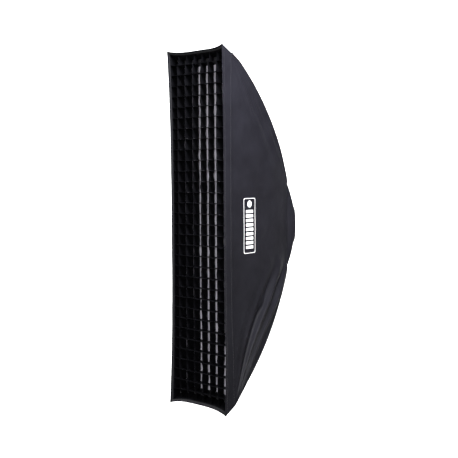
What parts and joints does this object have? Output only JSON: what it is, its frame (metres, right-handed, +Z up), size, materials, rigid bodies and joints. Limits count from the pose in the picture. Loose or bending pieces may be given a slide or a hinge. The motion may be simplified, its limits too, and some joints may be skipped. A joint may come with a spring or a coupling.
{
  "type": "strip softbox",
  "caption": "Tall narrow fabric softbox: bowed side panels on flexible rods, rotating speed ring with bayonet light mount, white diffusers and a slide-out egg-crate grid.",
  "frame": {"origin": "centre of the light's seat, on the axis of the light-mount bore", "axes": "+Y along the bore, back towards the light; the front opening faces -Y; +Z up along the long side; X across the width"},
  "size_m": [0.35, 0.624, 1.6],
  "materials": {
    "coated_cloth": "black coated nylon, silver inside",
    "grid_cloth": "matt black cloth strips",
    "white_cloth": "white translucent cloth",
    "black_webbing": "woven webbing",
    "loop_tape": "brushed loop tape",
    "black_metal": "satin black powder coat",
    "cast_aluminium": "turned",
    "steel": "zinc plated",
    "black_plastic": "moulded",
    "glass_fibre": "resin-bound glass fibre"
  },
  "bodies": {
    "light_mount": {"bayonet_insert": "cast_aluminium", "retaining_ring": "black_metal", "retainer_screws": "steel"},
    "softbox": {"speed_ring": "black_metal", "socket_screws": "steel", "rod_socket_top_right": "black_metal", "rod_socket_top_left": "black_metal", "rod_socket_bottom_right": "black_metal", "rod_socket_bottom_left": "black_metal", "rod_ferrule_top_right": "steel", "rod_ferrule_top_left": "steel", "rod_ferrule_bottom_right": "steel", "rod_ferrule_bottom_left": "steel", "rod_top_right": "glass_fibre", "rod_top_left": "glass_fibre", "rod_bottom_right": "glass_fibre", "rod_bottom_left": "glass_fibre", "rod_tip_cap_top_right": "black_plastic", "rod_tip_cap_top_left": "black_plastic", "rod_tip_cap_bottom_right": "black_plastic", "rod_tip_cap_bottom_left": "black_plastic", "corner_pocket_top_right": "black_webbing", "corner_pocket_top_left": "black_webbing", "corner_pocket_bottom_right": "black_webbing", "corner_pocket_bottom_left": "black_webbing", "panel_right": "coated_cloth", "panel_left": "coated_cloth", "panel_top": "coated_cloth", "panel_bottom": "coated_cloth", "lip_right": "coated_cloth", "lip_left": "coated_cloth", "lip_top": "coated_cloth", "lip_bottom": "coated_cloth", "lip_loop_tape": "loop_tape", "rear_collar": "coated_cloth", "collar_elastic": "black_webbing", "inner_diffuser": "white_cloth", "baffle_straps": "black_webbing", "snap_fasteners": "steel"},
    "lock_shoe": {"lock_shoe": "steel"},
    "lock_knob": {"lock_screw": "steel", "lock_knob": "black_plastic"},
    "diffuser": {"front_diffuser": "white_cloth", "diffuser_hem_right": "black_webbing", "diffuser_hem_left": "black_webbing", "diffuser_hem_top": "black_webbing", "diffuser_hem_bottom": "black_webbing"},
    "grid": {"grid_band_right": "grid_cloth", "grid_band_left": "grid_cloth", "grid_band_top": "grid_cloth", "grid_band_bottom": "grid_cloth", "grid_cross_strips": "grid_cloth", "grid_strip_1": "grid_cloth", "grid_strip_2": "grid_cloth", "grid_strip_3": "grid_cloth", "grid_strip_4": "grid_cloth", "grid_strip_5": "grid_cloth", "grid_strip_6": "grid_cloth"}
  },
  "joints": [
    {"name": "ring_rotation", "type": "hinge", "parent": "light_mount", "child": "softbox", "pos_m": [0, 0, 0], "axis": [0, 1, 0], "continuous": true},
    {"name": "lock_shoe_slide", "type": "slide", "parent": "softbox", "child": "lock_shoe", "axis": [-1, 0, 0], "range_m": [0, 0.0025]},
    {"name": "lock_knob_turn", "type": "hinge", "parent": "lock_shoe", "child": "lock_knob", "pos_m": [-0.074, -0.012, 0], "axis": [-1, 0, 0], "range_deg": [0, 720]},
    {"name": "diffuser_pull", "type": "slide", "parent": "softbox", "child": "diffuser", "axis": [0, -1, 0], "range_m": [0, 0.12]},
    {"name": "grid_pull", "type": "slide", "parent": "diffuser", "child": "grid", "axis": [0, -1, 0], "range_m": [0, 0.12]}
  ],
  "couplings": [
    {"joint": "lock_shoe_slide", "follows": "lock_knob_turn", "m_per_rad": 0.00019894}
  ]
}
